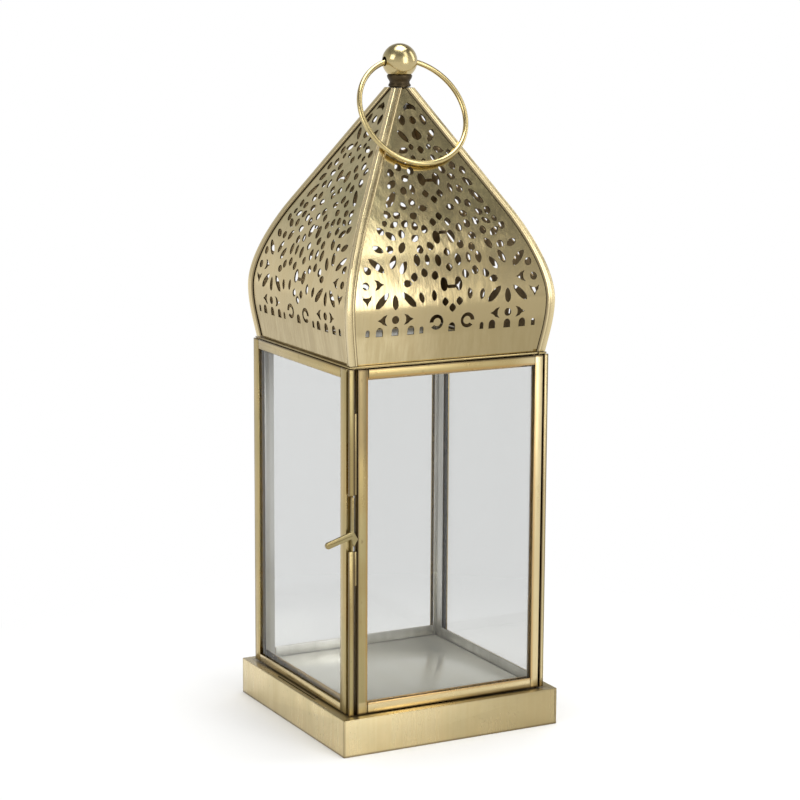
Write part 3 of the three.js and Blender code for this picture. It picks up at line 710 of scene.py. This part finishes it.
roofLine, roofDistance = roofCurve()
roofLength = roofDistance[-1]
roofSlope = np.gradient(roofLine, roofDistance, axis=0)


def roofAt(distance):
    half = np.interp(distance, roofDistance, roofLine[:, 0])
    height = np.interp(distance, roofDistance, roofLine[:, 1])
    along = np.array((np.interp(distance, roofDistance, roofSlope[:, 0]),
                      np.interp(distance, roofDistance, roofSlope[:, 1])))
    along /= np.linalg.norm(along)
    return half, height, (along[1], -along[0])


# Pierced pattern: places are across the panel and up its sheet, in mm. A turn is in degrees, and
# each place off the middle line has a mirrored twin.
pattern = {
    "knots": [("lowKnot", 35.2), ("midKnot", 57.4), ("topKnot", 86.6)],
    "middle": [("diamond", 50.0), ("diamond", 42.9), ("diamond", 24.3), ("arch", 15.2), ("diamond", 67.6),
               ("diamond", 76.2), ("diamond", 95.4), ("diamond", 101.8), ("wedge", 110.0), ("drop", 117.3),
               ("crown", 124.0)],
    "arches": [(37.2, 15.0), (29.2, 15.0), (21.2, 15.0)],
    "smallArches": [(43.2, 14.8), (15.7, 14.8)],
    "rosette": (29.3, 36.5),
    # places out from the rosette's centre, away from the panel's middle line, and up
    "petals": [("leaf", 6.6, -7.2, 45), ("leaf", -7.0, -7.2, -45), ("petal", 0, -8.2, 0),
               ("star", 7.6, 0.2, 90), ("drop", -6.9, 0, 90), ("leaf", 7.7, 9.0, -45),
               ("petal", -1.1, 10.2, 24), ("petal", -5.9, 7.4, 33), ("dot", 14.4, -0.1, 0),
               ("drop", 12.6, 6.9, -38), ("star", 14.3, -6.7, 180), ("star", 6.5, -16.1, -90),
               ("star", -6.7, -16.1, 90), ("dot", 0, -16.1, 0)],
    "others": [
        ("crescent", 8.1, 18.0, 0), ("diamond", 3.7, 27.2, 0), ("slim", 9.3, 30.3, 0),
        ("slim", 15.8, 29.7, -14), ("drop", 7.9, 39.5, 20), ("drop", 13.2, 41.0, 0),
        ("drop", 18.6, 39.3, 20), ("wideSlim", 5.2, 46.4, 0), ("slim", 10.7, 47.0, 0),
        ("wideSlim", 16.0, 47.0, 0), ("drop", 7.9, 53.4, -25), ("drop", 13.4, 52.0, 0),
        ("wideSlim", 22.5, 53.2, 30), ("dot", 28.8, 52.6, 0), ("wideSlim", 34.8, 53.0, -60),
        ("drop", 21.2, 59.8, 0), ("wideSlim", 27.0, 59.0, -50), ("drop", 14.8, 57.4, 60),
        ("drop", 9.0, 61.6, 0), ("drop", 13.6, 63.3, 0), ("drop", 18.4, 64.6, 40),
        ("slim", 24.0, 64.4, 60), ("drop", 31.6, 61.6, -35), ("small", 28.6, 65.2, 30),
        ("drop", 21.4, 69.0, 60), ("drop", 26.2, 69.6, -20), ("drop", 12.9, 68.4, 60),
        ("diamond", 3.8, 64.8, 0), ("drop", 7.1, 72.0, 90), ("drop", 12.0, 75.2, 0),
        ("drop", 16.8, 73.6, 0), ("diamond", 3.7, 79.2, 0), ("leaf", 22.2, 77.0, 38),
        ("slim", 9.8, 81.8, 0), ("drop", 14.6, 81.2, 20), ("drop", 12.0, 87.6, 60),
        ("wideSlim", 19.8, 84.6, 50), ("drop", 8.2, 91.2, 20), ("drop", 14.2, 93.2, 0),
        ("drop", 18.8, 90.6, 0), ("comma", 9.2, 101.6, 70), ("small", 5.0, 97.6, 0),
        ("drop", 14.2, 99.6, 0), ("small", 9.8, 96.8, 0), ("shortLeaf", 7.2, 109.0, -32),
        ("wideSlim", 5.5, 117.4, 8), ("small", 4.6, 103.4, 0)],
    "border": 3.9,  # plain sheet along the sloping edges, most of it under the rib
    "web": 0.42,  # least sheet between two holes
    "near": 16,  # holes further apart than this up the sheet can't touch
    "punchLow": -2, "punchTall": 4,
}


# Outlines of the punches, each about its own centre
def leafOutline(length, width, fullness=0.75, lean=0.0):
    steps = [i / 8 for i in range(1, 8)]
    side = [(width / 2 * math.sin(math.pi * t) ** fullness * (1 + lean * (t - 0.5)), (t - 0.5) * length)
            for t in steps]
    return [(0, -length / 2)] + side + [(0, length / 2)] + [(-x, y) for x, y in reversed(side)]


def archOutline(width, height):
    a = width / 2
    curve = [(a * math.cos(t), height / 2 - a + a * 1.15 * math.sin(t))
             for t in (i * math.pi / 8 for i in range(9))]
    return [(-a, -height / 2), (a, -height / 2)] + curve


def starOutline(size):
    a = size / 2
    return [(-a, -a * 0.9), (-a * 0.35, -a * 0.5), (a * 0.35, -a * 0.5), (a, -a * 0.9), (a * 0.75, -a * 0.1),
            (a * 0.35, a * 0.3), (0, a), (-a * 0.35, a * 0.3), (-a * 0.75, -a * 0.1)]


def roundOutline(across, up, count=12):
    return [(across / 2 * math.cos(t), up / 2 * math.sin(t))
            for t in (i * 2 * math.pi / count for i in range(count))]


def crescentOutline(outer, inner, shift):
    turns = [math.radians(-70 + i * 320 / 14) for i in range(15)]
    outside = [(outer * math.cos(t + 1.2), outer * math.sin(t + 1.2)) for t in turns]
    inside = [(inner * math.cos(t + 1.2) + shift, inner * math.sin(t + 1.2)) for t in reversed(turns)]
    return outside + inside


def knotOutline(bar):
    lobe, across, up, waist = 3.8, 1.95, 3.3, 0.8
    turns = [math.radians(a) for a in range(-150, 151, 25)]
    right = [(lobe + across * math.cos(t), up * math.sin(t)) for t in turns]
    left = [(-x, -y) for x, y in right]
    ends = [(lobe - across, bar - waist), (lobe - across, bar + waist), (across - lobe, bar + waist),
            (across - lobe, bar - waist)]
    return [ends[0]] + right + ends[1:3] + left + [ends[3]]


punches = {
    "diamond": leafOutline(4.2, 3.4, 0.9),
    "slim": leafOutline(5.3, 2.6, 0.6),
    "wideSlim": leafOutline(6.0, 3.3, 0.6),
    "drop": leafOutline(4.4, 3.4, 0.55, -0.3),
    "small": leafOutline(3.3, 2.6, 0.6),
    "dot": roundOutline(3.7, 3.8),
    "leaf": leafOutline(10.0, 3.3, 0.45, -0.3),
    "petal": leafOutline(7.0, 3.1, 0.5, -0.3),
    "shortLeaf": leafOutline(7.8, 3.0, 0.5, 0.3),
    "comma": leafOutline(5.8, 3.2, 0.6, 0.6),
    "wedge": leafOutline(6.4, 4.8, 0.7, -1.1),
    "arch": archOutline(3.5, 4.0),
    "smallArch": archOutline(2.0, 3.2),
    "star": starOutline(5.2),
    "crescent": crescentOutline(3.6, 1.9, -0.3),
    "lowKnot": knotOutline(-1.2),
    "midKnot": knotOutline(2.2),
    "topKnot": knotOutline(-0.6),
    "crown": [(-3.2, -2.0), (-1.5, -0.9), (1.5, -0.9), (3.2, -2.0), (3.0, 0.4), (1.5, 1.6), (0, 2.6),
              (-1.5, 1.6), (-3.0, 0.4)],
}


def turned(outline, across, up, turn, mirrored):
    c, s, side = math.cos(turn), math.sin(turn), -1 if mirrored else 1
    return np.array([(side * (across + x * c - y * s), up + x * s + y * c) for x, y in outline])


def gapBetween(first, second):
    ahead = np.roll(second, -1, axis=0) - second
    apart = first[:, None, :] - second[None, :, :]
    along = np.clip((apart * ahead).sum(2) / (ahead ** 2).sum(1), 0, 1)
    return np.hypot(*np.moveaxis(apart - along[..., None] * ahead, 2, 0)).min()


# Every hole as its kind, place, turn and whether it is mirrored
def patternHoles():
    x, y = pattern["rosette"]
    wanted = [(kind, 0, up, 0) for kind, up in pattern["knots"] + pattern["middle"]]
    wanted += [("arch", across, up, 0) for across, up in pattern["arches"]]
    wanted += [("smallArch", across, up, 0) for across, up in pattern["smallArches"]]
    wanted += [(kind, x + across, y + up, degrees) for kind, across, up, degrees in pattern["petals"]]
    wanted += pattern["others"]
    holes, outlines = [], []
    for kind, across, up, degrees in wanted:
        turn = math.radians(degrees)
        for mirrored in ([False, True] if across else [False]):
            outline = turned(punches[kind], across, up, turn, mirrored)
            edge = min(roofAt(point[1])[0] - pattern["border"] - abs(point[0]) for point in outline)
            others = [other for other in outlines if abs(other[:, 1].mean() - up) < pattern["near"]]
            gap = min([min(gapBetween(outline, other), gapBetween(other, outline)) for other in others],
                      default=pattern["near"])
            if edge < 0 or gap < pattern["web"]:
                print("hole left out:", kind, across, up)
                continue
            outlines.append(outline)
            holes.append((kind, across, up, turn, mirrored))
    return holes


def makePunch(kind):
    unpick()
    outline = punches[kind]
    bpy.ops.mesh.primitive_circle_add(vertices=len(outline), radius=mm, fill_type="NGON")
    punch = named("punch" + kind)
    for vertex, (x, y) in zip(punch.data.vertices, outline):
        vertex.co = Vector((x, y, pattern["punchLow"])) * mm
    pick(punch)
    bpy.ops.object.mode_set(mode="EDIT")
    bpy.ops.mesh.select_all(action="SELECT")
    bpy.ops.mesh.extrude_region_move(TRANSFORM_OT_translate={
        "value": (0, 0, pattern["punchTall"] * mm)})
    leaveEditing()
    return punch


def placePunches():
    tools, placed = {}, []
    for kind, across, up, turn, mirrored in patternHoles():
        tool = tools.get(kind) or tools.setdefault(kind, makePunch(kind))
        copy = tool.copy()
        copy.data = tool.data.copy()
        bpy.context.scene.collection.objects.link(copy)
        side = -1 if mirrored else 1
        copy.matrix_world = (Matrix.Diagonal((side, 1, 1, 1)) @ Matrix.Translation((across * mm, up * mm, 0))
                             @ Matrix.Rotation(turn, 4, "Z"))
        settle(copy)
        placed.append(copy)
    for tool in tools.values():
        bpy.data.objects.remove(tool, do_unlink=True)
    pick(*placed)
    bpy.ops.object.join()
    mergeAndTurnOut(placed[0])
    print("holes in a panel:", len(placed))
    return placed[0]


# One flat slab is pierced, then curved to the roof's line and copied to the four sides
def makePanel():
    unpick()
    bpy.ops.mesh.primitive_grid_add(x_subdivisions=roof["columns"], y_subdivisions=roof["rows"], size=2)
    panel = named("roofPanelFront")
    for vertex in panel.data.vertices:
        up = (vertex.co.y + 1) / 2 * roofLength
        half = roofAt(up)[0] - roof["mitre"]
        vertex.co = Vector((vertex.co.x * half, up, 0)) * mm
    pick(panel)
    bpy.ops.object.mode_set(mode="EDIT")
    bpy.ops.mesh.select_all(action="SELECT")
    bpy.ops.mesh.extrude_region_move(TRANSFORM_OT_translate={"value": (0, 0, -roof["sheet"] * mm)})
    bpy.ops.mesh.select_all(action="SELECT")
    bpy.ops.mesh.normals_make_consistent(inside=False)
    bpy.ops.object.mode_set(mode="OBJECT")

    carve(panel, placePunches())
    addModifier(panel, "BEVEL", width=roof["rim"] * mm, segments=1, limit_method="ANGLE",
                angle_limit=math.radians(50), use_clamp_overlap=True)
    cutFaces = [face.index for face in panel.data.polygons if abs(face.normal.z) < 0.9]

    for vertex in panel.data.vertices:
        half, height, normal = roofAt(min(max(vertex.co.y / mm, 0), roofLength))
        depth = vertex.co.z / mm
        vertex.co = Vector((vertex.co.x / mm, -half - normal[0] * depth, height + normal[1] * depth)) * mm
    smooth(panel, 30)
    giveFinish(panel, roofBrass, roofInside, holeWallShadeAndDirt)
    for face in panel.data.polygons:
        if face.normal.y > 0.2 and face.normal.z < 0.45:
            face.material_index = 1
    for index in cutFaces:  # the holes' walls are darker than the sheet: painted shade and dirt
        panel.data.polygons[index].material_index = 2
    return panel


def quarterTurns(obj, names):
    copies = [obj]
    for name in names[1:]:
        copy = obj.copy()
        copy.data = obj.data.copy()
        copy.name = copy.data.name = name
        bpy.context.scene.collection.objects.link(copy)
        copies.append(copy)
    for turns, copy in enumerate(copies):
        copy.rotation_euler = (0, 0, turns * math.pi / 2)
        settle(copy)
    return copies


sides = ["Front", "Right", "Back", "Left"]
for side, copy in zip(sides, quarterTurns(makePanel(), ["roofPanel" + side for side in sides])):
    seat(copy, "lantern", "brass", "roof_panel_" + side.lower())
print("roof panels made")


# Ribs: angle strips folded over the roof's corners, with a hemmed edge along each leg
rib = {
    "leg": 3.6,
    "under": 0.3,  # from the panels' faces
    "face": 1.0,
    "rows": 120,
}


def makeRib():
    leg, face = rib["leg"], rib["face"]
    # Along one leg, from its free edge to the corner: distance from the corner, lift, painted shade in the
    # creases
    half = [(leg, face - 0.35, 0.9), (leg - 0.12, face - 0.08, 0.4), (leg - 0.35, face, 0),
            (leg - 0.8, face, 0), (leg - 1.0, face - 0.16, 1), (leg - 1.2, face - 0.05, 0.4),
            (1.3, face - 0.1, 0.1), (0.55, face - 0.03, 0), (0.16, face - 0.04, 0)]
    across = [(along, 0, lift, soil) for along, lift, soil in half]
    across += [(0, along, lift, soil) for along, lift, soil in reversed(half)]
    columns, rows = len(across), rib["rows"]
    unpick()
    bpy.ops.mesh.primitive_grid_add(x_subdivisions=columns - 1, y_subdivisions=rows, size=2)
    obj = named("roofRibBackRight")
    pick(obj)
    bpy.ops.object.mode_set(mode="EDIT")
    bpy.ops.mesh.select_all(action="SELECT")
    bpy.ops.mesh.extrude_region_move(TRANSFORM_OT_translate={"value": (0, 0, -1)})
    leaveEditing()
    creaseShades = []
    for vertex in obj.data.vertices:
        column = round((vertex.co.x + 1) / 2 * (columns - 1))
        row = round((vertex.co.y + 1) / 2 * rows)
        isUnder = vertex.co.z < -0.5
        alongBack, alongRight, lift, soil = across[column]
        # the rib's underside is painted fully shaded
        if isUnder:
            lift, soil = rib["under"], 1
        half, height, normal = roofAt(row / rows * roofLength)
        isEnd = row in (0, rows)
        away = half + (lift / normal[0] if isEnd else lift * normal[0])
        level = height + (0 if isEnd else lift * normal[1])
        vertex.co = Vector((away - alongBack, away - alongRight, level)) * mm
        creaseShades.append(soil)
    obj.data.attributes.new("soil", "FLOAT", "POINT").data.foreach_set("value", creaseShades)
    mergeAndTurnOut(obj)
    smooth(obj, 40)
    giveFinish(obj, ribBrass)
    return obj


corners = ["BackRight", "BackLeft", "FrontLeft", "FrontRight"]
ribNodes = ["roof_rib_back_right", "roof_rib_back_left", "roof_rib_front_left", "roof_rib_front_right"]
ribs = quarterTurns(makeRib(), ["roofRib" + corner for corner in corners])
for node, copy in zip(ribNodes, ribs):
    seat(copy, "lantern", "pale_brass", node)
print("ribs made")


# Finial: the drilled ball on its neck, and the ring that passes through it
finial = {
    "centre": 314.81, "ball": 8.3, "hole": 2.26, "studHole": 1.8, "edge": 0.35,
    "neckFoot": 302.91,
    "neck": [(1.9, 0), (4.9, 0), (5.3, 0.3), (5.25, 1.0), (4.8, 1.6), (4.7, 2.3), (5.1, 3.1), (5.7, 4.0),
             (5.95, 5.0), (5.85, 5.5)],  # radius, and height above the foot
    "cup": (5.5, 4.4, 3.2, 1.9),  # radii of the neck's hollow, which follows the ball
    "ring": 27.0, "wire": 1.25, "lean": 31.2, "hang": 26.3463,
}


def makeBall():
    unpick()
    centre = (0, 0, finial["centre"] * mm)
    bpy.ops.mesh.primitive_uv_sphere_add(segments=64, ring_count=32, radius=finial["ball"] * mm,
                                         location=centre)
    ball = named("finialBall")
    settle(ball)
    bpy.ops.mesh.primitive_cylinder_add(vertices=40, radius=finial["hole"] * mm, depth=24 * mm,
                                        location=centre, rotation=(0, math.pi / 2, 0))
    drill = named("drill")
    bpy.ops.mesh.primitive_cylinder_add(vertices=32, radius=finial["studHole"] * mm, depth=6 * mm,
                                        location=(0, 0, (finial["centre"] - 6.4) * mm))
    carve(ball, drill, named("studHole"))
    addModifier(ball, "BEVEL", width=finial["edge"] * mm, segments=3, limit_method="ANGLE",
                angle_limit=math.radians(40))
    smooth(ball, 35)
    giveFinish(ball, ballBrass)
    seat(ball, "lantern", "brass", "finial_ball")


def spun(name, profile):
    unpick()
    bpy.ops.mesh.primitive_circle_add(vertices=len(profile), radius=1)
    obj = named(name)
    for vertex, (radius, height) in zip(obj.data.vertices, profile):
        vertex.co = Vector((radius, 0, height)) * mm
    pick(obj)
    bpy.ops.object.mode_set(mode="EDIT")
    bpy.ops.mesh.select_all(action="SELECT")
    bpy.ops.mesh.spin(steps=48, angle=2 * math.pi, center=(0, 0, 0), axis=(0, 0, 1))
    bpy.ops.object.mode_set(mode="OBJECT")
    mergeAndTurnOut(obj, 2e-6)
    smooth(obj, 40)
    return obj


def makeNeck():
    reach = finial["ball"] + 0.12
    spool = [(radius, finial["neckFoot"] + rise) for radius, rise in finial["neck"]]
    cup = [(radius, finial["centre"] - math.sqrt(reach ** 2 - radius ** 2)) for radius in finial["cup"]]
    neck = spun("finialNeck", spool + cup)
    # the neck's near-black is painted shade under the ball
    giveFinish(neck, darkBrassAndNeckShade)
    seat(neck, "lantern", "dark_brass", "finial_collar")


def makeRing():
    unpick()
    bpy.ops.mesh.primitive_circle_add(vertices=20, radius=finial["wire"] * mm,
                                      location=(finial["ring"] * mm, 0, 0), rotation=(math.pi / 2, 0, 0))
    ring = named("ringHandle")
    settle(ring)
    pick(ring)
    bpy.ops.object.mode_set(mode="EDIT")
    bpy.ops.mesh.select_all(action="SELECT")
    bpy.ops.mesh.spin(steps=120, angle=2 * math.pi, center=(0, 0, 0), axis=(0, 0, 1))
    bpy.ops.object.mode_set(mode="OBJECT")
    mergeAndTurnOut(ring, 2e-6)
    lean = math.radians(finial["lean"])
    ring.rotation_euler = (math.pi / 2 - lean, 0, 0)
    ring.location = (0, -finial["hang"] * math.sin(lean) * mm,
                     (finial["centre"] - finial["hang"] * math.cos(lean)) * mm)
    settle(ring)
    smooth(ring, 60)
    giveFinish(ring, ringBrass)
    seat(ring, "ring", "pale_brass", "ring_handle")


makeBall()
makeNeck()
makeRing()
for node, name in [("finial_washer", "finialWasher"), ("finial_nut", "finialNut"),
                   ("finial_stud", "finialStud")]:
    fastener = cadCopy(node, name)
    soften(fastener, 0.12)
    giveFinish(fastener, studSteel)
    seat(fastener, "lantern", "steel", node)
print("finial made")


# Latch: the CAD's own leaf and lever, with a groove along the lever's front, where its two folds meet
latch = {
    "front": -53.4, "left": -51.3,
    "leverTop": 105.38, "thick": 3.2, "slope": 15.0,
    "groove": (13.0, 0.9, 0.35), "grooveOut": 6.2,  # length, depth and height, and how far out its middle is
}


def makeLatch():
    obj = cadCopy("latch_tongue", "latchTongue")
    soften(obj, 0.4, 3, 35)
    slope, out = math.radians(latch["slope"]), latch["grooveOut"]
    middle = latch["leverTop"] - latch["thick"] / 2 - out * math.tan(slope)
    unpick()
    bpy.ops.mesh.primitive_cube_add(size=1)
    groove = named("groove")
    groove.scale = Vector(latch["groove"]) * mm
    groove.rotation_euler = (0, -slope, 0)
    groove.location = Vector((latch["left"] - out, latch["front"], middle)) * mm
    settle(groove)
    carve(obj, groove)
    smooth(obj, 40)
    giveFinish(obj, leverBrass)
    seat(obj, "latch", "pale_brass", "latch_tongue")


makeLatch()
print("latch made")
